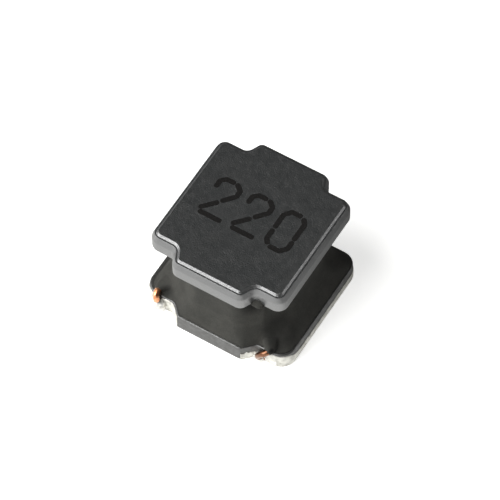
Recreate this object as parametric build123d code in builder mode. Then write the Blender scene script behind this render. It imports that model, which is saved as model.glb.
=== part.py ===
"""Chip inductor: a wire-wound, resin-coated ferrite drum with two soldered terminals.

Millimetres, +Z up. The origin is the centre of the footprint, on the plane of the solder pads. The
front, where both ends of the wire come out, faces -Y.
"""

import os

from build123d import *

# Ferrite drum core
height = 4.26
plating = 0.03

top_length = 5.45
top_width = 6.0
top_corner_width = 4.9
top_thickness = 0.77
top_tongue_length = 2.78
top_notch_run = 0.26
top_tongue_radius = 0.32
top_notch_radius = 0.22
top_corner_radius = 0.40
top_edge_bevel = 0.12
land = 0.17
bevel = 0.08

base_length = 5.94
base_width = 5.88
base_corner_width = 5.0
base_thickness = 0.69
base_tongue_length = 2.56
base_notch_run = 0.44
base_tongue_radius = 0.15
base_notch_radius = 0.35
base_corner_radius = 0.38
base_edge_bevel = 0.06

post_diameter = 2.9

groove_spacing = 4.5
groove_width = 0.70
groove_depth = 0.30

# Copper winding
wire_diameter = 0.24
layers = 2
winding_gap = 0.03
bead_slope = 0.07
lead_standoff = 0.03
lead_bend = 0.10
lead_tail = 3.4
left_exit_offset = 0.27
left_tail_offset = 0.04
right_exit_offset = 0.09
right_tail_offset = -0.17

# Resin coating. A quarter of its outline has three corners: the front's end, a ridge and the side's end.
resin_clearance = 0.01
resin_shift = 0.04
resin_front_rim = 0.08
resin_side_rim = 0.11
foot_radii = (0.15, 0.30, 0.36)
waist_height = 0.9
waist_corners = ((1.00, 2.62), (1.72, 2.10), (2.42, 1.05))
waist_radii = (1.00, 0.50, 0.90)
crown_corners = ((1.20, 2.68), (1.74, 2.14), (2.46, 1.20))
crown_radii = (0.40, 0.40, 0.90)

# Terminals and solder
terminal_length = 1.70
terminal_wrap = 0.38
solder_film = 0.02
solder_toe = 0.36

# Levels and places that follow from the sizes
underside = plating
base_top = underside + base_thickness
top_bottom = height - top_thickness
window = top_bottom - base_top
post_radius = post_diameter / 2
wire_radius = wire_diameter / 2
turns = int((window - 2 * winding_gap) / wire_diameter)
inner_radius = post_radius + resin_clearance
outer_layer_radius = inner_radius + wire_diameter * (layers - 0.5)
winding_radius = outer_layer_radius + wire_radius
winding_bottom = base_top + winding_gap
lead_height = winding_bottom + wire_radius + resin_clearance
groove_x = groove_spacing / 2
groove_roof = underside + groove_depth
channel_roof = groove_roof - plating
channel_width = groove_width - 2 * plating
tail_height = channel_roof - solder_film - wire_radius
front_wall = base_corner_width / 2 + plating
lead_front = front_wall + lead_standoff + wire_radius
pad_edge = base_length / 2 + plating - terminal_length


def notched_outline(length, width, corner_width, tongue_length, notch_run, radii):
    """A flange's outline in the sketch: a tongue at front and back, a notch at each side of it."""
    tongue_end = tongue_length / 2
    with BuildLine() as quarter:
        FilletPolyline(
            (0, width / 2),
            (tongue_end, width / 2),
            (tongue_end + notch_run, corner_width / 2),
            (length / 2, corner_width / 2),
            (length / 2, 0),
            radius=radii,
        )
        mirror(about=Plane.YZ)
        mirror(about=Plane.XZ)
    make_face(quarter.edges())


def top_outline():
    notched_outline(
        top_length,
        top_width,
        top_corner_width,
        top_tongue_length,
        top_notch_run,
        (top_tongue_radius, top_notch_radius, top_corner_radius),
    )


def base_outline():
    notched_outline(
        base_length,
        base_width,
        base_corner_width,
        base_tongue_length,
        base_notch_run,
        (base_tongue_radius, base_notch_radius, base_corner_radius),
    )


def lead(side, exit_offset, tail_offset, radius, mode=Mode.ADD):
    """One end of the wire: off the lowest turn, out at the front and under the base into its groove."""
    exit_x = side * (groove_x + exit_offset)
    tail_x = side * (groove_x + tail_offset)
    corners = [
        Vector(side * (outer_layer_radius - wire_radius), wire_diameter, lead_height),
        Vector(exit_x, -lead_front, lead_height),
        Vector(tail_x, -lead_front, tail_height),
        Vector(tail_x, lead_tail - lead_front, tail_height),
    ]
    points = [corners[0]]
    for before, corner, after in zip(corners, corners[1:], corners[2:]):
        points.append(corner + (before - corner).normalized() * lead_bend)
        points.append(corner + (after - corner).normalized() * lead_bend)
    points.append(corners[-1])
    with BuildLine(mode=Mode.PRIVATE) as route:
        Polyline(*points)
    path = route.wires()[0]
    with BuildSketch(Plane(origin=path @ 0, z_dir=path % 0)) as section:
        Circle(radius)
    sweep(sections=section.sketch, path=path, transition=Transition.RIGHT, mode=mode)


def both_leads(radius, mode=Mode.ADD):
    lead(-1, left_exit_offset, left_tail_offset, radius, mode)
    lead(1, right_exit_offset, right_tail_offset, radius, mode)


# Drum core: base flange, post and top flange with its raised, bevelled field
with BuildPart() as drum_core:
    with BuildSketch(Plane.XY.offset(underside)):
        base_outline()
    extrude(amount=base_thickness)
    rim = drum_core.faces().sort_by(Axis.Z)[-1].edges()
    chamfer(rim, length=base_edge_bevel)
    with BuildSketch(Plane.XY.offset(underside)):
        with GridLocations(groove_spacing, 0, 2, 1):
            Rectangle(groove_width, 2 * front_wall)
    extrude(amount=groove_depth, mode=Mode.SUBTRACT)
    with BuildSketch(Plane.XY.offset(base_top)):
        Circle(post_radius)
    extrude(amount=window)
    with BuildSketch(Plane.XY.offset(top_bottom)):
        top_outline()
    extrude(amount=top_thickness - bevel)
    rim = drum_core.faces().sort_by(Axis.Z)[-1].edges()
    chamfer(rim, length=top_edge_bevel)
    for level, inset in ((height - bevel, land), (height, land + bevel)):
        with BuildSketch(Plane.XY.offset(level)):
            top_outline()
            offset(amount=-inset)
    loft(ruled=True)

# Winding: the outer layer's turns as beads on the layers below, and the two ends of the wire
with BuildPart() as winding:
    with BuildSketch(Plane.XZ):
        with BuildLine():
            for turn in range(turns):
                low = winding_bottom + turn * wire_diameter
                Polyline(
                    (outer_layer_radius, low),
                    (winding_radius, low + bead_slope),
                    (winding_radius, low + wire_diameter - bead_slope),
                    (outer_layer_radius, low + wire_diameter),
                )
            winding_top = winding_bottom + turns * wire_diameter
            Polyline(
                (outer_layer_radius, winding_top),
                (inner_radius, winding_top),
                (inner_radius, winding_bottom),
                (outer_layer_radius, winding_bottom),
            )
        make_face()
    revolve(axis=Axis.Z)
    both_leads(wire_radius)

# Resin coating: fills the window round the winding. It covers the base flange nearly to the rim,
# draws in to a rounded waist and flares again under the top flange
foot_corners = (
    (base_tongue_length / 2, base_width / 2 - resin_front_rim),
    (base_tongue_length / 2 + base_notch_run, base_corner_width / 2 - resin_front_rim),
    (base_length / 2 - resin_side_rim, base_corner_width / 2 - resin_side_rim),
)
with BuildPart() as resin_coating:
    for level, (front_end, ridge, side_end), radii in (
        (base_top, foot_corners, foot_radii),
        (base_top + waist_height, waist_corners, waist_radii),
        (top_bottom, crown_corners, crown_radii),
    ):
        with BuildSketch(Plane.XY.offset(level)):
            with BuildLine() as quarter:
                FilletPolyline(
                    (0, front_end[1]),
                    front_end,
                    ridge,
                    side_end,
                    (side_end[0], 0),
                    radius=radii,
                )
                mirror(about=Plane.YZ)
                mirror(about=Plane.XZ)
            with Locations((resin_shift, 0)):
                make_face(quarter.edges())
    loft()
    with BuildSketch(Plane.XY.offset(base_top)):
        Circle(winding_radius + resin_clearance)
    extrude(amount=window, mode=Mode.SUBTRACT)
    both_leads(wire_radius + resin_clearance, Mode.SUBTRACT)

# Terminals: plating under the base, up its side walls and inside the groove
electrodes = {}
for name, side in (("electrode_left", -1), ("electrode_right", 1)):
    with BuildPart() as electrode:
        with BuildSketch():
            base_outline()
            offset(amount=plating)
            with Locations((side * (pad_edge + terminal_length / 2), 0)):
                Rectangle(terminal_length, base_width + 2 * plating, mode=Mode.INTERSECT)
        extrude(amount=terminal_wrap)
        add(drum_core.part, mode=Mode.SUBTRACT)
        with BuildSketch():
            with Locations((side * groove_x, 0)):
                Rectangle(channel_width, 2 * front_wall)
        extrude(amount=channel_roof, mode=Mode.SUBTRACT)
    electrodes[name] = electrode

# Solder: fills each channel round the wire's end, with a toe where the wire comes down the front
solders = {}
for name, side, tail_offset in (
    ("solder_left", -1, left_tail_offset),
    ("solder_right", 1, right_tail_offset),
):
    with BuildPart() as solder:
        with Locations((side * (groove_x + tail_offset), -front_wall, 0)):
            Sphere(solder_toe, arc_size1=0, align=None)
        with BuildSketch():
            base_outline()
            offset(amount=plating)
        extrude(amount=base_top, mode=Mode.SUBTRACT)
        with BuildSketch():
            with Locations((side * groove_x, 0)):
                Rectangle(channel_width, 2 * front_wall)
        extrude(amount=channel_roof)
        both_leads(wire_radius, Mode.SUBTRACT)
    solders[name] = solder

pieces = {
    "drum_core": drum_core,
    "winding": winding,
    "resin_coating": resin_coating,
    **electrodes,
    **solders,
}
os.makedirs("parts", exist_ok=True)
for name, piece in pieces.items():
    piece.part.label = name
    export_step(piece.part, f"parts/{name}.step")
    print(name, len(piece.part.solids()), "solid,", round(piece.part.volume, 3), "mm3")
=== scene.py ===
"""Chip inductor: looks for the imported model, built around it in metres and in its frame."""

import math

import bmesh
import bpy
import numpy as np
from mathutils import Matrix, Vector, noise


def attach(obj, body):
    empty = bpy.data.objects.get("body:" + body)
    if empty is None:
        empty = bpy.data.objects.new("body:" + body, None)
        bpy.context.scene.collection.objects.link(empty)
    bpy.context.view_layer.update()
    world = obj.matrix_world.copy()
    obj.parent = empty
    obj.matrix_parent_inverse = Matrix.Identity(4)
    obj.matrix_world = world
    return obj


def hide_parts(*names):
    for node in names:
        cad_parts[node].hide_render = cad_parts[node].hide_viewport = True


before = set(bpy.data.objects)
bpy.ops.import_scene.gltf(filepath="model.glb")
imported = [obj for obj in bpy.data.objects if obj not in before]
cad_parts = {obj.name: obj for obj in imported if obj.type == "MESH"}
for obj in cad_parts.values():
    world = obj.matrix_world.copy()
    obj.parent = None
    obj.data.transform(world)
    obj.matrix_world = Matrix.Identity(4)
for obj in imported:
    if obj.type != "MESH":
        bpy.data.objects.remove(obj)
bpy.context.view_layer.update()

# Drum core: base flange, post and top flange, pressed and sintered as one piece of nickel-zinc
# ferrite. The press leaves a land and a bevel round the top field, and a lean below the land.
# Two grooves run front to back under the base, for the ends of the wire.
MM = 0.001
height = 4.26
underside = 0.03
base_top = 0.72
top_bottom = 3.49
post_radius = 1.45
land = 0.165
bevel = 0.07
edge_rise = 0.22
edge_lean = 0.10
shoulder_radius = 0.15
lean_radius = 0.01
land_radius = 0.02
base_edge = 0.06
press_edge = 0.03
face_margin = 0.13
field_margin = 0.03
groove_x = 2.25
groove_width = 0.70
groove_roof = 0.33
cutter_height = 1.0
top_flange = {
    "length": 5.46,
    "width": 6.02,
    "corner_width": 4.91,
    "tongue_length": 2.78,
    "notch_run": 0.26,
    "radii": (0.32, 0.22, 0.40),
}
base_flange = {
    "length": 5.94,
    "width": 5.88,
    "corner_width": 5.0,
    "tongue_length": 2.56,
    "notch_run": 0.44,
    "radii": (0.15, 0.35, 0.58),
}
ferrite_dark = (0.014, 0.016, 0.0165, 1)
ferrite_light = (0.022, 0.023, 0.0225, 1)
ferrite_grain = 0.22
ferrite_speckle = 0.045
ferrite_relief = 0.02
ferrite_roughness = (0.24, 0.42)
dust_colour = (0.050, 0.048, 0.042, 1)
dust_share = (0.22, 0.72)
dust_ends = (0.8 * MM, 0.9 * MM)


def rounded_path(corners, arc_steps, side_steps, closed=True):
    """Points along a path with rounded corners, and the direction to the path's right at each."""
    arcs = []
    count = len(corners)
    for index, (x, y, radius) in enumerate(corners):
        corner = Vector((x, y))
        if not closed and index in (0, count - 1):
            arcs.append(([corner], None))
            continue
        to_before = (Vector(corners[index - 1][:2]) - corner).normalized()
        to_after = (Vector(corners[(index + 1) % count][:2]) - corner).normalized()
        half = to_before.angle(to_after) / 2
        centre = corner + (to_before + to_after).normalized() * (radius / math.sin(half))
        turn = -1 if to_before.cross(to_after) > 0 else 1
        spoke = corner + to_before * (radius / math.tan(half)) - centre
        spokes = []
        for step in range(arc_steps + 1):
            angle = turn * (math.pi - 2 * half) * step / arc_steps
            spokes.append(Matrix.Rotation(angle, 2) @ spoke)
        arcs.append(([centre + s for s in spokes], [s.normalized() * turn for s in spokes]))
    points, rights = [], []
    for index, (arc, directions) in enumerate(arcs):
        run_in = arc[0] - arcs[index - 1][0][-1]
        run_out = arcs[(index + 1) % count][0][0] - arc[-1]
        right_in, right_out = (Vector((r.y, -r.x)).normalized() for r in (run_in, run_out))
        points += arc
        rights += directions or [right_out if index == 0 else right_in]
        if closed or index < count - 1:
            for step in range(1, side_steps):
                points.append(arc[-1] + run_out * (step / side_steps))
                rights.append(right_out)
    return np.array([tuple(p) for p in points]), np.array([tuple(r) for r in rights])


def turned_outline(quarter):
    """A closed outline from the corners of its first quarter, mirrored to the other three."""
    corners = []
    for side, end in ((1, 1), (-1, 1), (-1, -1), (1, -1)):
        group = [(side * x, end * y, radius) for x, y, radius in quarter]
        corners += group if side * end > 0 else group[::-1]
    return rounded_path(corners, arc_steps=10, side_steps=14)


def flange_outline(length, width, corner_width, tongue_length, notch_run, radii):
    """One turn round a flange, with the same number of points for every flange."""
    tongue_radius, notch_radius, corner_radius = radii
    quarter = [
        (length / 2, corner_width / 2, corner_radius),
        (tongue_length / 2 + notch_run, corner_width / 2, notch_radius),
        (tongue_length / 2, width / 2, tongue_radius),
    ]
    return turned_outline(quarter)


def edge_profile(corners):
    """Offsets and levels up a flange's edge, close together beside each rounded corner."""
    points, rights = rounded_path(corners, arc_steps=6, side_steps=1, closed=False)
    return points


def loop(outline, offset, level):
    """An outline moved outwards by an offset and lifted to a level."""
    points, outwards = outline
    return np.column_stack([points + outwards * offset, np.full(len(points), level)])


def circle_under(outline, radius, level):
    """A circle whose points face those of an outline."""
    points, outwards = outline
    spokes = points / np.linalg.norm(points, axis=1)[:, None]
    return np.column_stack([spokes * radius, np.full(len(points), level)])


def linked(name, data):
    """A new object of the scene from its mesh, lamp or camera data."""
    made = bpy.data.objects.new(name, data)
    bpy.context.scene.collection.objects.link(made)
    return made


def piece_from(name, vertices, faces):
    """A smooth-shaded piece from places in millimetres and the faces between them."""
    mesh = bpy.data.meshes.new(name)
    mesh.from_pydata([tuple(v * MM) for v in vertices], [], faces)
    mesh.shade_smooth()
    mesh.update()
    return linked(name, mesh)


def skin(name, loops, ring=False):
    """A closed surface through loops of equal count, with its ends capped or joined in a ring."""
    count = len(loops[0])
    faces = []
    for row in range(len(loops) if ring else len(loops) - 1):
        here = row * count
        above = (row + 1) % len(loops) * count
        for a in range(count):
            b = (a + 1) % count
            faces.append((here + a, here + b, above + b, above + a))
    if not ring:
        faces.append(tuple(reversed(range(count))))
        faces.append(tuple(range((len(loops) - 1) * count, len(loops) * count)))
    return piece_from(name, np.concatenate(loops), faces)


def add_box(shape, centre, size):
    """Adds a box to a shape that is being put together."""
    place = Matrix.Translation(centre) @ Matrix.Diagonal((*size, 1))
    bmesh.ops.create_cube(shape, size=1, matrix=place)


def piece_of(name, shape):
    """A piece from a shape in millimetres."""
    mesh = bpy.data.meshes.new(name)
    shape.transform(Matrix.Scale(MM, 4))
    shape.to_mesh(mesh)
    shape.free()
    return linked(name, mesh)


def settle(piece):
    """Turns what a piece's modifiers make into its own mesh."""
    evaluated = piece.evaluated_get(bpy.context.evaluated_depsgraph_get())
    piece.data = bpy.data.meshes.new_from_object(evaluated)
    piece.modifiers.clear()


def cut_box(piece, centre, size):
    """Cuts a box-shaped groove out of a piece."""
    shape = bmesh.new()
    add_box(shape, centre, size)
    cutter = piece_of("groove_cutter", shape)
    cut = piece.modifiers.new("groove", "BOOLEAN")
    cut.object = cutter
    cut.operation = "DIFFERENCE"
    cut.solver = "EXACT"
    settle(piece)
    bpy.data.objects.remove(cutter)


base_outline = flange_outline(**base_flange)
top_outline = flange_outline(**top_flange)
wall_top = height - bevel
base_profile = edge_profile(
    [
        (-face_margin, underside, 0),
        (0, underside, press_edge),
        (0, base_top, base_edge),
        (-face_margin, base_top, 0),
    ]
)
top_profile = edge_profile(
    [
        (-face_margin, top_bottom, 0),
        (0, top_bottom, press_edge),
        (0, wall_top - edge_rise, shoulder_radius),
        (-edge_lean, wall_top, lean_radius),
        (-land, wall_top, land_radius),
        (-land - bevel, height, land_radius),
        (-land - bevel - field_margin, height, 0),
    ]
)
core_loops = [loop(base_outline, offset, level) for offset, level in base_profile]
core_loops += [circle_under(base_outline, post_radius, level) for level in (base_top, top_bottom)]
core_loops += [loop(top_outline, offset, level) for offset, level in top_profile]
drum_core = skin("ferrite_drum_core", core_loops)
for side in (-1, 1):
    cut_box(
        drum_core,
        (side * groove_x, 0, groove_roof - cutter_height / 2),
        (groove_width, 2 * base_flange["width"], cutter_height),
    )


class Signal:
    """A socket of a material's nodes. Sums, differences and products of values add Math nodes."""

    def __init__(self, socket):
        self.socket = socket

    def node(self, kind, settings, inputs, output=0):
        """Adds any other node: its settings first, then the values or links of its inputs."""
        tree = self.socket.id_data
        made = tree.nodes.new("ShaderNode" + kind)
        for name, value in settings.items():
            setattr(made, name, value)
        for name, value in inputs.items():
            if isinstance(value, Signal):
                tree.links.new(value.socket, made.inputs[name])
            else:
                made.inputs[name].default_value = value
        return Signal(made.outputs[output])

    def math(self, operation, first, second):
        return self.node("Math", {"operation": operation}, {0: first, 1: second})

    def __add__(self, other):
        return self.math("ADD", self, other)

    def __radd__(self, other):
        return self.math("ADD", other, self)

    def __sub__(self, other):
        return self.math("SUBTRACT", self, other)

    def __rsub__(self, other):
        return self.math("SUBTRACT", other, self)

    def __mul__(self, other):
        return self.math("MULTIPLY", self, other)

    def __rmul__(self, other):
        return self.math("MULTIPLY", other, self)

    def between(self, low, high):
        """Rises smoothly from 0 at low to 1 at high."""
        ends = {"Value": self, "From Min": low, "From Max": high}
        return self.node("MapRange", {"interpolation_type": "SMOOTHSTEP"}, ends)

    def spread(self, low, high):
        """From low to high, evenly, as this value goes from 0 to 1."""
        return low + (high - low) * self

    def blend(self, low, high):
        """A colour from low to high by this value."""
        return self.node("Mix", {"data_type": "RGBA"}, {0: self, 6: low, 7: high}, 2)

    def tinted(self, share):
        """This colour scaled by a value."""
        return self.node("VectorMath", {"operation": "SCALE"}, {0: self, 3: share})

    def axis(self, name):
        """One coordinate of this place."""
        return self.node("SeparateXYZ", {}, {"Vector": self}, name)

    def along(self, direction):
        """How far this place lies along a direction."""
        ends = {0: self, 1: direction}
        return self.node("VectorMath", {"operation": "DOT_PRODUCT"}, ends, "Value")

    def near(self, centre, inner, outer):
        """1 within a distance of a point and 0 beyond a longer one, all in millimetres."""
        point = tuple(c * MM for c in centre)
        away = self.node("VectorMath", {"operation": "DISTANCE"}, {0: self, 1: point}, "Value")
        return 1 - away.between(inner * MM, outer * MM)

    def grain(self, size, detail=2.0, roughness=0.5):
        """Noise at this place, with grains of a size in millimetres."""
        return self.node(
            "TexNoise",
            {"noise_dimensions": "3D"},
            {"Vector": self, "Scale": 1 / (size * MM), "Detail": detail, "Roughness": roughness},
        )

    def bump(self, depth):
        """A normal from this height, with its depth in millimetres."""
        return self.node("Bump", {}, {"Strength": 1.0, "Distance": depth * MM, "Height": self})


def source(tree, kind, output):
    """The signal of a node without inputs, such as a place or a kind of ray."""
    return Signal(tree.nodes.new("ShaderNode" + kind).outputs[output])


def finish_of(name, **fixed):
    """A material with its uniform values set, and the signal of the place on the surface."""
    made = bpy.data.materials.new(name)
    made.use_nodes = True
    shader = made.node_tree.nodes["Principled BSDF"]
    for socket, value in fixed.items():
        shader.inputs[socket.replace("_", " ")].default_value = value
    return made, source(made.node_tree, "TexCoord", "Object")


def feed(material, **signals):
    """Links signals to a material's sockets."""
    shader = material.node_tree.nodes["Principled BSDF"]
    for socket, signal in signals.items():
        material.node_tree.links.new(signal.socket, shader.inputs[socket.replace("_", " ")])


def dusted(material, share, colour):
    """Lays a matt film over a material where the share is high."""
    tree = material.node_tree
    bare = Signal(tree.nodes["Principled BSDF"].outputs[0])
    film = share.node("BsdfDiffuse", {}, {"Color": colour})
    both = share.node("MixShader", {}, {0: share, 1: bare, 2: film})
    tree.links.new(both.socket, tree.nodes["Material Output"].inputs["Surface"])


def dress(piece, material):
    piece.data.materials.clear()
    piece.data.materials.append(material)


ferrite, place = finish_of("sintered_ferrite", IOR=2.6)
coarse = place.grain(ferrite_grain, 4.0, 0.6)
fine = place.grain(ferrite_speckle, 3.0, 0.6)
above_base = place.axis("Z").between(*dust_ends)
feed(
    ferrite,
    Base_Color=(coarse * 0.6 + fine * 0.4).between(0.35, 0.65).blend(ferrite_dark, ferrite_light),
    Roughness=coarse.spread(*ferrite_roughness),
    Normal=(coarse * 0.4 + fine * 0.6).bump(ferrite_relief),
)
dusted(ferrite, coarse.spread(*dust_share) * (1 - above_base), dust_colour)
dress(drum_core, ferrite)
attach(drum_core, "root")
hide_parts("drum_core")

# Winding: one enamelled copper wire, wound up the post in one layer and down over it in a second.
# Its two ends leave the lowest turn, come out at the front corners of the base, fold down over the
# rim and run under the base in the grooves. The fold at the right is darker, with a thinner coat.
wire_radius = 0.12
wire_sides = 16
inner_layer = 1.58
outer_layer = 1.82
lowest = 0.87
highest = 3.27
last_turn_rise = 0.02
turns = 10
start_angle = 180
step_over = 24
winding_step = 8
left_lead = [
    (-1.75, -0.9, 0.88),
    (-2.20, -1.5, 0.88),
    (-2.45, -2.0, 0.88),
    (-2.42, -2.34, 0.88),
    (-2.39, -2.56, 0.87),
    (-2.34, -2.66, 0.74),
    (-2.32, -2.64, 0.52),
    (-2.28, -2.56, 0.36),
    (-2.24, -2.52, 0.18),
    (-2.23, -2.3, 0.13),
    (-2.22, -1.2, 0.13),
    (-2.22, 0.72, 0.13),
]
right_lead = [
    (1.75, -0.9, 0.88),
    (2.05, -1.5, 0.88),
    (2.22, -2.0, 0.86),
    (2.28, -2.34, 0.86),
    (2.27, -2.56, 0.85),
    (2.14, -2.69, 0.77),
    (1.98, -2.69, 0.58),
    (1.87, -2.67, 0.40),
    (1.89, -2.60, 0.20),
    (2.05, -2.45, 0.13),
    (2.08, -1.2, 0.13),
    (2.08, 0.72, 0.13),
]
darkened_fold_at = (2.10, -2.60, 0.70)
darkened_fold_ends = (0.4, 1.0)
darkened_fold_share = 0.75
coat_worn_share = 0.5
copper_dark = (0.62, 0.20, 0.075, 1)
copper_light = (0.90, 0.46, 0.24, 1)
copper_streak = 0.12
copper_relief = 0.01
copper_roughness = (0.22, 0.42)
enamel_weight = (0.4, 0.8)


def smooth_route(points):
    """Closely spaced points on a smooth curve through the given ones."""
    curve = bpy.data.curves.new("route", "CURVE")
    curve.dimensions = "3D"
    curve.resolution_u = 6
    spline = curve.splines.new("NURBS")
    spline.points.add(len(points) - 1)
    for knot, point in zip(spline.points, points):
        knot.co = (*point, 1)
    spline.use_endpoint_u = True
    spline.order_u = 3
    guide = bpy.data.objects.new("route", curve)
    mesh = bpy.data.meshes.new_from_object(guide)
    route = np.array([tuple(v.co) for v in mesh.vertices])
    bpy.data.objects.remove(guide)
    bpy.data.meshes.remove(mesh)
    return route


def tube(name, route, radius, sides):
    """A round wire along a route, its section carried along without twist."""
    runs = np.gradient(route, axis=0)
    runs /= np.linalg.norm(runs, axis=1)[:, None]
    angles = np.arange(sides) * (2 * math.pi / sides)
    across = np.cross(runs[0], (0.0, 0.0, 1.0))
    loops = []
    for point, run in zip(route, runs):
        across = across - run * np.dot(across, run)
        across /= np.linalg.norm(across)
        up = np.cross(run, across)
        circle = np.outer(np.cos(angles), across) + np.outer(np.sin(angles), up)
        loops.append(point + radius * circle)
    return skin(name, loops)


def helix(radius, start, stop, low, high):
    """Turns from one angle to another, in degrees, rising or falling evenly."""
    angles = np.radians(np.arange(start, stop + 0.1, winding_step))
    levels = np.linspace(low, high, len(angles))
    return [(radius * math.cos(a), radius * math.sin(a), z) for a, z in zip(angles, levels)]


top_turn = start_angle + 360 * turns
wound = helix(inner_layer, start_angle, top_turn, lowest, highest)
wound += helix(outer_layer, top_turn + step_over, 720 * turns, highest, lowest + last_turn_rise)
wire_route = smooth_route(left_lead[::-1] + wound[2:] + right_lead)
winding = tube("enamelled_copper_wire", wire_route, wire_radius, wire_sides)
copper, place = finish_of("enamelled_copper", Metallic=1.0, Coat_Roughness=0.12, Coat_IOR=1.6)
streak = place.grain(copper_streak, 3.0)
# The copper's colour is darker round the fold at the right.
darkened_fold = place.near(darkened_fold_at, *darkened_fold_ends)
clean_colour = streak.between(0.3, 0.7).blend(copper_dark, copper_light)
feed(
    copper,
    Base_Color=clean_colour.tinted(1 - darkened_fold_share * darkened_fold),
    Roughness=streak.spread(*copper_roughness),
    Coat_Weight=streak.spread(*enamel_weight) * (1 - coat_worn_share * darkened_fold),
    Normal=streak.bump(copper_relief),
)
dress(winding, copper)
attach(winding, "root")
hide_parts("winding")

# Resin coating: ferrite-filled epoxy, dispensed into the window between the flanges and cured. It
# wets both flanges, draws in between them, humps over the wire's ends and creeps up the notch at
# the front right. Its skin is satin and slightly uneven, with small hollows beside the wire. Its
# colour carries painted shade: darker at the right front, in the top flange's shadow, and in the
# hollows beside the wire and under the notch.
bore_radius = 1.95
resin_shift = 0.04
resin_levels = [
    (0.72, ((2.86, 2.39, 0.50), (1.72, 2.42, 0.30), (1.28, 2.86, 0.15))),
    (1.62, ((2.42, 1.05, 0.90), (1.72, 2.10, 0.50), (1.00, 2.62, 1.00))),
    (3.49, ((2.46, 1.20, 0.90), (1.74, 2.14, 0.40), (1.20, 2.68, 0.40))),
]
resin_rows = 100
creep = 0.32
creep_start = 0.04
creep_slope = 1.0
creep_rows = 8
wire_cover = 0.155
cover_end = {-1: -2.33, 1: -2.54}
cover_above = 0.7
cover_blend = 30
wave_scale = 0.9
wave_height = 0.03
pits = [
    ((-2.10, -2.38, 0.97), 0.22, 0.18),
    ((2.36, -2.55, 0.92), 0.11, 0.02),
    ((1.46, -2.22, 2.56), 0.40, 0.22),
]
swells = [
    ((-2.08, -2.44, 0.72), 0.34, 0.13),
    ((1.62, -2.18, 3.53), 0.33, 0.50),
]
painted_shade_at = (2.35, -1.85, 1.30)
painted_shade_ends = (0.35, 0.90)
painted_shade_share = 0.65
pit_ends = (0.2, 1.5)
pit_painted_shade = 0.85
resin_dark = (0.034, 0.034, 0.030, 1)
resin_light = (0.054, 0.053, 0.047, 1)
resin_cloud = 0.9
resin_fleck = 0.05
resin_relief = 0.03
resin_roughness = (0.72, 0.92)
marks = [mark for mark, quarter in resin_levels]
outlines = [turned_outline(quarter)[0] + (resin_shift, 0) for mark, quarter in resin_levels]
covered = []
for side, lead in ((-1, left_lead), (1, right_lead)):
    track = smooth_route(lead)
    covered.append(track[(track[:, 2] > cover_above) & (track[:, 1] > cover_end[side])])
covered = np.concatenate(covered)


def plain_outline(level):
    """The coating's outline at a level, on the curve through the three given ones."""
    outline = 0
    for known, mark in zip(outlines, marks):
        share = math.prod((level - other) / (mark - other) for other in marks if other != mark)
        outline = outline + known * share
    return outline


def cover_reach(spokes, level):
    """How far out the cover over the wire's ends lies along each spoke."""
    half = np.sqrt(np.clip(wire_cover**2 - (level - covered[:, 2]) ** 2, 0, None))
    along = spokes @ covered[:, :2].T
    beside = np.outer(spokes[:, 0], covered[:, 1]) - np.outer(spokes[:, 1], covered[:, 0])
    ahead = np.sqrt(np.clip(half**2 - beside**2, 0, None))
    return np.where(np.abs(beside) < half, along + ahead, 0).max(axis=1)


def unevenness(spot, level):
    """How far the skin stands out at a place: waves, the slope of the creep, swells and pits."""
    point = Vector((*spot, level))
    rise = noise.noise(point * wave_scale) * wave_height if level > base_top else 0
    rise -= max(level - top_bottom, 0) * creep_slope
    for lumps, way in ((swells, 1), (pits, -1)):
        for centre, size, most in lumps:
            rise += way * most * math.exp(-((point - Vector(centre)).length / size) ** 2)
    return rise


resin_loops = []
window_levels = np.linspace(base_top, top_bottom, resin_rows)
creep_levels = np.linspace(top_bottom + creep_start, top_bottom + creep, creep_rows)
for level in [*window_levels, *creep_levels]:
    outline = plain_outline(level)
    reach = np.linalg.norm(outline, axis=1)
    spokes = outline / reach[:, None]
    covers = cover_reach(spokes, level)
    reach = np.logaddexp(reach * cover_blend, covers * cover_blend) / cover_blend
    reach += [unevenness(spot, level) for spot in spokes * reach[:, None]]
    resin_loops.append(np.column_stack([spokes * reach[:, None], np.full(len(reach), level)]))
for level in (top_bottom + creep, base_top):
    resin_loops.append(circle_under(base_outline, bore_radius, level))
resin_coating = skin("resin_coat", resin_loops, ring=True)
resin, place = finish_of("filled_epoxy", Specular_IOR_Level=0.25)
cloud = place.grain(resin_cloud, 3.0, 0.6)
fleck = place.grain(resin_fleck, 3.0, 0.65)
# Painted shade: the resin's colour is darkened at the right front, where the top flange casts its
# shadow, and in each hollow.
painted_resin_shade = painted_shade_share * place.near(painted_shade_at, *painted_shade_ends)
for centre, size, most in pits:
    painted_resin_shade = painted_resin_shade + place.near(centre, *(size * end for end in pit_ends))
even_colour = (cloud * 0.7 + fleck * 0.3).between(0.35, 0.65).blend(resin_dark, resin_light)
feed(
    resin,
    Base_Color=even_colour.tinted(1 - pit_painted_shade * painted_resin_shade),
    Roughness=cloud.spread(*resin_roughness),
    Normal=(cloud * 0.8 + fleck * 0.2).bump(resin_relief),
)
dress(resin_coating, resin)
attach(resin_coating, "root")
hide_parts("resin_coating")

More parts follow.
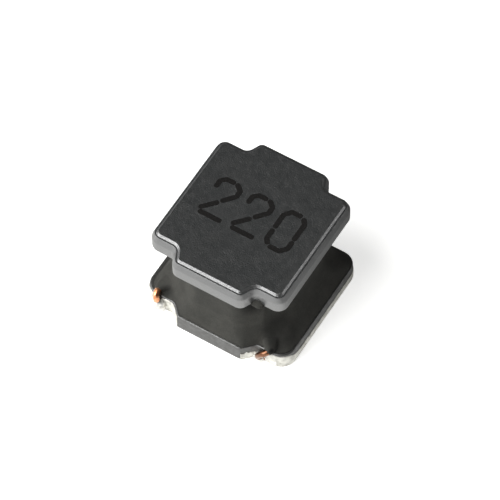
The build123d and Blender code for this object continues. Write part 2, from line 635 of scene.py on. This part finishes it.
# Terminals: silver paste with a coat of tin, dipped on. Each covers one end of the underside and
# climbs the side walls to a wavering edge, which is higher at the front corners and dips in the
# right notch.
plating = 0.03
pad_edge = 1.30
pad_rise = 0.004
pad_steps = 24
bite = 0.006
end_bites = (0.006, 0.005, 0.0045, 0.004)
edge_drops = (0.003, 0.025)
wall_foot = 0.05
sole_edge = 0.01
dip_level = 0.34
front_climb = 0.30
front_ends = (1.7, 2.35)
notch_drop = 0.26
notch_ends = (1.9, 2.2)
wander_scale = 2.2
wander_height = 0.03
ragged_scale = 9
ragged_height = 0.02
ragged_front = 0.04
plate_dark = (0.46, 0.45, 0.41, 1)
plate_light = (0.74, 0.73, 0.68, 1)
plate_tarnish = 0.25
plate_frost = 0.04
plate_relief = 0.018
plate_roughness = (0.36, 0.66)


def smooth_step(value, low, high):
    t = min(max((value - low) / (high - low), 0), 1)
    return t * t * (3 - 2 * t)


def dip_line(x, y):
    """How high the plating climbs the wall at a place."""
    front = smooth_step(-y, *front_ends)
    notch = 1 - smooth_step(x, *notch_ends) if x > 0 else 0
    level = dip_level + front_climb * front - notch_drop * front * notch
    wander = noise.noise(Vector((x * wander_scale, y * wander_scale, 0.3))) * wander_height
    ragged = noise.noise(Vector((x * ragged_scale, y * ragged_scale, 4.1)))
    return level + wander + ragged * (ragged_height + ragged_front * front)


def plated_section(line):
    """Up the wall, over the edge at a line and down to the sole: the offset from the wall and the
    level at each step, and the level where the same step closes at the pad's inner end."""
    ends = [underside + rise for rise in end_bites]
    return (
        (-bite, underside + bite, ends[0]),
        (-bite, line, ends[1]),
        (0.4 * plating, line - edge_drops[0], ends[2]),
        (plating, line - edge_drops[1], ends[3]),
        (plating, wall_foot, underside),
        (0.7 * plating, sole_edge, sole_edge),
        (0.0, pad_rise, pad_rise),
    )


def terminal_piece(name, side):
    """The plating of one end of the base: a strip round its wall and a sole under it."""
    points, outwards = base_outline
    plated = points[:, 0] > pad_edge
    start = np.flatnonzero(plated & ~np.roll(plated, 1))[0]
    order = (start + np.arange(plated.sum())) % len(points)
    rim = list(zip(points[order], outwards[order]))
    ends = [(np.array([pad_edge, point[1]]), outward) for point, outward in (rim[0], rim[-1])]
    rim = [ends[0], *rim, ends[1]]
    rows = [[] for step in plated_section(0)]
    for point, outward in rim:
        line = dip_line(side * point[0], point[1])
        for row, (offset, level, end_level) in zip(rows, plated_section(line)):
            row.append((*(point + outward * offset), level))
    inner_end = np.linspace(ends[1][0][1], ends[0][0][1], pad_steps)[1:-1]
    for row, (offset, level, end_level) in zip(rows, plated_section(0)):
        row += [(pad_edge, y, end_level) for y in inner_end]
    loops = [np.array(row) for row in rows]
    if side < 0:
        loops = [row[::-1] * (-1, 1, 1) for row in loops]
    return skin(name, loops[::-1])


plate, place = finish_of("tinned_silver", Metallic=0.75)
tarnish = place.grain(plate_tarnish, 4.0, 0.6)
frost = place.grain(plate_frost, 2.0)
feed(
    plate,
    Base_Color=tarnish.between(0.3, 0.62).blend(plate_dark, plate_light),
    Roughness=tarnish.spread(*plate_roughness),
    Normal=(tarnish * 0.6 + frost * 0.4).bump(plate_relief),
)
for side, node in ((-1, "electrode_left"), (1, "electrode_right")):
    wrap = terminal_piece(node.replace("electrode", "tinned_terminal"), side)
    dress(wrap, plate)
    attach(wrap, "root")
    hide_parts(node)

# Solder: tin that fills each groove round the wire's end, flush with the pad, with a small uneven
# toe of beads, melted together, where the wire comes down the front of the base.
channel_width = 0.64
channel_length = 5.06
channel_roof = 0.30
toe_beads = 10
toe_x = {-1: -2.26, 1: 1.86}
toe_y = -2.58
toe_bottom = 0.12
toe_height = {-1: 0.36, 1: 0.12}
toe_size = {-1: 0.17, 1: 0.12}
bead_drift = (0.24, 0.06)
bead_spread = 0.04
bead_seed = 3
melt_size = 0.016
melt_passes = 14
tin_dark = (0.55, 0.54, 0.50, 1)
tin_light = (0.80, 0.79, 0.76, 1)
tin_grain = 0.10
tin_relief = 0.02
tin_roughness = (0.28, 0.53)
noise.seed_set(bead_seed)  # without it, noise_vector differs from run to run
tin, place = finish_of("tin_solder", Metallic=0.8)
dull = place.grain(tin_grain, 4.0, 0.6)
feed(
    tin,
    Base_Color=dull.between(0.3, 0.6).blend(tin_dark, tin_light),
    Roughness=dull.spread(*tin_roughness),
    Normal=dull.bump(tin_relief),
)
for side, node in ((-1, "solder_left"), (1, "solder_right")):
    shape = bmesh.new()
    channel_centre = (side * groove_x, 0, channel_roof / 2)
    add_box(shape, channel_centre, (channel_width, channel_length, channel_roof))
    for bead in range(toe_beads):
        seed = Vector((bead * 1.7, side * 3.1, 0.4))
        drift = noise.noise_vector(seed)
        x = toe_x[side] + bead_drift[0] * drift.x
        y = toe_y - bead_drift[1] * abs(drift.y)
        z = toe_bottom + toe_height[side] * bead / toe_beads
        bead_size = toe_size[side] + bead_spread * noise.noise(seed * 2)
        spot = Matrix.Translation((x, y, z))
        bmesh.ops.create_icosphere(shape, subdivisions=3, radius=bead_size, matrix=spot)
    lump = piece_of("tin_" + node, shape)
    melt = lump.modifiers.new("melt", "REMESH")
    melt.mode = "VOXEL"
    melt.voxel_size = melt_size * MM
    relax = lump.modifiers.new("relax", "SMOOTH")
    relax.iterations = melt_passes
    settle(lump)
    for vertex in lump.data.vertices:
        vertex.co.z = max(vertex.co.z, 0.0)
    lump.data.shade_smooth()
    dress(lump, tin)
    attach(lump, "root")
    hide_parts(node)

# Value code: plain numbers in a thin film of dark ink, stencilled on the top field. The stencil's
# bridges leave small gaps between the strokes, and the edges are slightly rough.
ink_height = 0.003
ink_sink = 0.001
stroke_half = 0.098
stroke_bend = 0.10
stroke_wobble = 0.008
wobble_scale = 12
end_steps = 8
digit_pitch = 1.32
digit_rise = 0.12
digit_two = [
    [(-0.42, 0.42), (-0.42, 0.66), (-0.24, 0.82), (0.02, 0.82)],
    [(0.22, 0.80), (0.42, 0.62), (0.42, 0.36), (0.10, -0.02)],
    [(-0.04, -0.20), (-0.42, -0.62)],
    [(-0.34, -0.80), (0.42, -0.80)],
]
digit_nought = [
    [(-0.42, 0.02), (-0.42, 0.58), (-0.22, 0.82), (0.10, 0.82)],
    [(0.30, 0.74), (0.42, 0.58), (0.42, -0.10)],
    [(0.42, -0.30), (0.42, -0.56), (0.22, -0.80), (-0.14, -0.80)],
    [(-0.32, -0.70), (-0.42, -0.56), (-0.42, -0.20)],
]
ink_dark = (0.006, 0.0055, 0.005, 1)
ink_light = (0.014, 0.013, 0.012, 1)
ink_wear = 0.06
ink_relief = 0.008
ink_roughness = (0.5, 0.7)


def round_end(tip, right):
    """A half circle round a stroke's end, from its right side to its left."""
    ahead = np.array([-right[1], right[0]])
    angles = [math.pi * step / end_steps for step in range(1, end_steps)]
    return [tip + stroke_half * (right * math.cos(a) + ahead * math.sin(a)) for a in angles]


def stroke_edge(points):
    """The outline of a stroke with round ends."""
    corners = [(x, y, stroke_bend) for x, y in points]
    track, rights = rounded_path(corners, arc_steps=5, side_steps=8, closed=False)
    edge = [*(track + rights * stroke_half), *round_end(track[-1], rights[-1])]
    return edge + [*(track - rights * stroke_half)[::-1], *round_end(track[0], -rights[0])]


vertices, faces = [], []
for digit_x, digit in ((-digit_pitch, digit_two), (0, digit_two), (digit_pitch, digit_nought)):
    for points in digit:
        edge = stroke_edge([(digit_x + x, digit_rise + y) for x, y in points])
        first, count = len(vertices), len(edge)
        for level in (height - ink_sink, height + ink_height):
            for x, y in edge:
                rough = noise.noise_vector(Vector((x * wobble_scale, y * wobble_scale, 0)))
                wobble = rough * stroke_wobble
                vertices.append(np.array([x + wobble.x, y + wobble.y, level]))
        faces.append(tuple(reversed(range(first, first + count))))
        faces.append(tuple(range(first + count, first + 2 * count)))
        for a in range(count):
            b = (a + 1) % count
            faces.append((first + a, first + b, first + count + b, first + count + a))
value_code = piece_from("value_code_ink", vertices, faces)
value_code.data.shade_flat()
ink, place = finish_of("stencil_ink", Specular_IOR_Level=0.2)
worn = place.grain(ink_wear, 3.0, 0.6)
feed(
    ink,
    Base_Color=worn.between(0.3, 0.75).blend(ink_dark, ink_light),
    Roughness=worn.spread(*ink_roughness),
    Normal=worn.bump(ink_relief),
)
dress(value_code, ink)
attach(value_code, "root")

# Stage: a white table that the part's gloss and bounce light find darker at the right and behind,
# a broad soft lamp in front on the left, a low one behind on the right for the rim, and a pale
# surround, brighter on the lamp's side, under a darker ceiling.
table_half = 300
table_colour = (0.90, 0.90, 0.885, 1)
dimmed_colour = (0.12, 0.12, 0.12, 1)
dim_side = (0.8, 0.6, 0)
dim_side_share = 0.55
dim_side_ends = (1.2 * MM, 4.5 * MM)
dim_behind_share = 0.9
dim_behind_ends = (1 * MM, 7 * MM)
table_glow = 0.66
mirrored_glow = 0.58
key_side = (-0.65, -0.76, 0)
key_side_ends = (-0.6, 0.7)
surround_levels = (0.10, 0.90)
ceiling_ends = (0.1, 0.6)
ceiling_level = 0.04
lamp_distance = 0.2
table_corners = [(-1, -1, 0), (1, -1, 0), (1, 1, 0), (-1, 1, 0)]
floor = piece_from("table", np.array(table_corners) * table_half, [(0, 1, 2, 3)])
white, place = finish_of(
    "white_table", Roughness=0.9, Specular_IOR_Level=0.0, Emission_Color=(1, 1, 0.99, 1)
)
camera_ray, mirror_ray, through_ray = (
    source(white.node_tree, "LightPath", f"Is {kind} Ray")
    for kind in ("Camera", "Glossy", "Transmission")
)
# Painted shade: for every ray but the camera's, the table's colour is darkened to the right and
# behind, standing in for the part's shadow there.
dim_right = dim_side_share * place.along(dim_side).between(*dim_side_ends)
dim_behind = dim_behind_share * place.axis("Y").between(*dim_behind_ends)
dim = (1 - (1 - dim_right) * (1 - dim_behind)) * (1 - camera_ray)
feed(
    white,
    Base_Color=dim.blend(table_colour, dimmed_colour),
    Emission_Strength=camera_ray * table_glow
    + (mirror_ray * (1 - dim) + through_ray) * mirrored_glow,
)
dress(floor, white)

world = bpy.data.worlds.new("studio")
world.use_nodes = True
bpy.context.scene.world = world
camera_ray = source(world.node_tree, "LightPath", "Is Camera Ray")
around = source(world.node_tree, "TexCoord", "Generated")
surround = around.along(key_side).between(*key_side_ends).spread(*surround_levels)
ceiling = around.axis("Z").between(*ceiling_ends)
brightness = camera_ray + (1 - camera_ray) * (surround * (1 - ceiling) + ceiling_level * ceiling)
background = world.node_tree.nodes["Background"]
background.inputs["Color"].default_value = (1, 1, 1, 1)
world.node_tree.links.new(brightness.socket, background.inputs["Strength"])


def direction(azimuth, elevation):
    """The direction from the part at an azimuth to the right of the front, and an elevation."""
    a, e = math.radians(azimuth), math.radians(elevation)
    return Vector((math.sin(a) * math.cos(e), -math.cos(a) * math.cos(e), math.sin(e)))


def soft_lamp(name, azimuth, elevation, strength, spread):
    """A soft lamp far away, seen from the part at an azimuth and an elevation."""
    lamp_data = bpy.data.lights.new(name, "SUN")
    lamp_data.energy = strength
    lamp_data.angle = math.radians(spread)
    towards = direction(azimuth, elevation)
    lamp = linked(name, lamp_data)
    lamp.rotation_mode = "QUATERNION"
    lamp.rotation_quaternion = towards.to_track_quat("Z", "Y")
    lamp.location = towards * lamp_distance


soft_lamp("front_lamp", azimuth=-45, elevation=42, strength=4.2, spread=62)
soft_lamp("rim_lamp", azimuth=119, elevation=17, strength=0.46, spread=30)

# Camera: a long lens above and to the right of the front, fitted to the flanges' edges in the
# photograph. It looks at the middle of the part, with a small roll and shift.
camera_azimuth = 31.568
camera_elevation = 57.082
camera_roll = math.radians(-0.308)
camera_distance = 0.12119
looked_at = Vector((0, 0, 2.2 * MM))
camera_data = bpy.data.cameras.new("camera")
camera_data.lens = 247.6
camera_data.sensor_width = 36
camera_data.shift_x = -0.00288
camera_data.shift_y = 0.00017
camera_data.clip_start = 0.01
camera_data.clip_end = 5
camera = linked("camera", camera_data)
back = direction(camera_azimuth, camera_elevation)
upright = (-back).to_track_quat("-Z", "Y")
camera.rotation_mode = "QUATERNION"
camera.rotation_quaternion = upright @ Matrix.Rotation(camera_roll, 4, "Z").to_quaternion()
camera.location = looked_at + back * camera_distance
bpy.context.scene.camera = camera
bpy.context.scene.view_settings.view_transform = "Standard"
